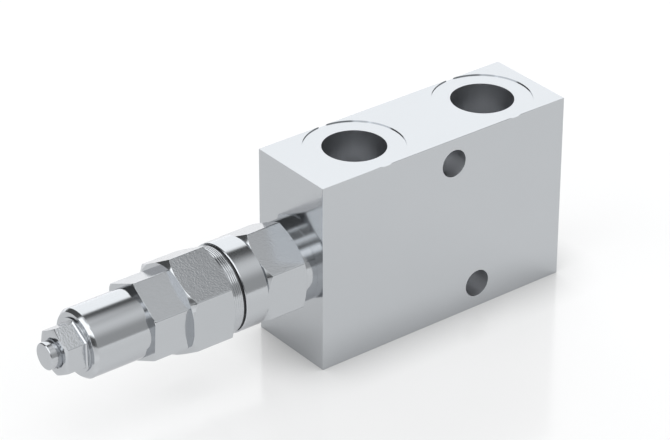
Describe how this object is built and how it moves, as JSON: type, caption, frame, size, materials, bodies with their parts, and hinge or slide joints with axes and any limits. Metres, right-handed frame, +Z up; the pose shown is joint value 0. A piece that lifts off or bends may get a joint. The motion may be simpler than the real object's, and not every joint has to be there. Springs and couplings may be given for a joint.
{
  "type": "counterbalance valve",
  "caption": "Counterbalance valve: a drilled steel block with ports on top and a screw-in cartridge with adjusting screw and lock nut",
  "frame": {"origin": "middle of the block's bottom face", "axes": "+X along the cartridge from the adjusting screw to the block, +Y from the front to the back, +Z up towards the two ports"},
  "size_m": [0.1744, 0.03, 0.06],
  "materials": {
    "block_steel": "ground faces, bright zinc plating",
    "cartridge_steel": "turned and milled, bright zinc plating",
    "cap_steel": "turned and milled, bright zinc plating",
    "nut_steel": "bright zinc plating",
    "screw_steel": "bright zinc plating",
    "washer_steel": "bright zinc plating",
    "inner_steel": "hardened and ground",
    "spring_steel": "oiled spring wire",
    "seal_rubber": "matt black",
    "dark_seal": "matt black",
    "backup_plastic": "off-white"
  },
  "bodies": {
    "valve": {"valve_body": "block_steel", "pilot_orifice": "inner_steel", "cartridge_body": "cartridge_steel", "mouth_o_ring": "seal_rubber", "pilot_o_ring": "seal_rubber", "nose_o_ring": "seal_rubber", "backup_ring_1": "backup_plastic", "backup_ring_2": "backup_plastic", "backup_ring_3": "backup_plastic", "backup_ring_4": "backup_plastic", "check_spring": "spring_steel", "check_retainer": "inner_steel", "check_circlip": "spring_steel", "main_spring": "spring_steel", "spring_housing": "cartridge_steel", "housing_seal": "dark_seal", "spring_cap": "cap_steel", "cap_o_ring": "seal_rubber"},
    "check": {"check_seat": "inner_steel"},
    "relief": {"relief_poppet": "inner_steel", "poppet_seal_large": "backup_plastic", "poppet_seal_small": "backup_plastic", "spring_guide": "inner_steel"},
    "spring_seat": {"upper_spring_seat": "inner_steel", "upper_seat_o_ring": "seal_rubber"},
    "screw": {"adjusting_screw": "screw_steel"},
    "nut_washer": {"nut_washer": "washer_steel"},
    "nut": {"lock_nut": "nut_steel"}
  },
  "joints": [
    {"name": "relief_lift", "type": "slide", "parent": "valve", "child": "relief", "axis": [-1, 0, 0], "range_m": [0, 0.003], "stiffness_N_per_m": 20000, "deforming": ["main_spring"]},
    {"name": "check_lift", "type": "slide", "parent": "valve", "child": "check", "axis": [1, 0, 0], "range_m": [0, 0.0022], "stiffness_N_per_m": 2000, "deforming": ["check_spring"]},
    {"name": "spring_seat_travel", "type": "slide", "parent": "valve", "child": "spring_seat", "axis": [1, 0, 0], "range_m": [-0.00125, 0.00375], "deforming": ["main_spring"]},
    {"name": "screw_turn", "type": "hinge", "parent": "spring_seat", "child": "screw", "pos_m": [-0.12, 0, 0.03], "axis": [1, 0, 0], "range_deg": [-360, 1080]},
    {"name": "nut_travel", "type": "slide", "parent": "valve", "child": "nut_washer", "axis": [-1, 0, 0], "range_m": [0, 0.00125]},
    {"name": "nut_turn", "type": "hinge", "parent": "nut_washer", "child": "nut", "pos_m": [-0.12, 0, 0.03], "axis": [1, 0, 0], "range_deg": [-360, 0]}
  ],
  "couplings": [
    {"joint": "screw_turn", "follows": "spring_seat_travel", "rad_per_m": 5026.5},
    {"joint": "nut_turn", "follows": "nut_travel", "rad_per_m": -5026.5}
  ]
}
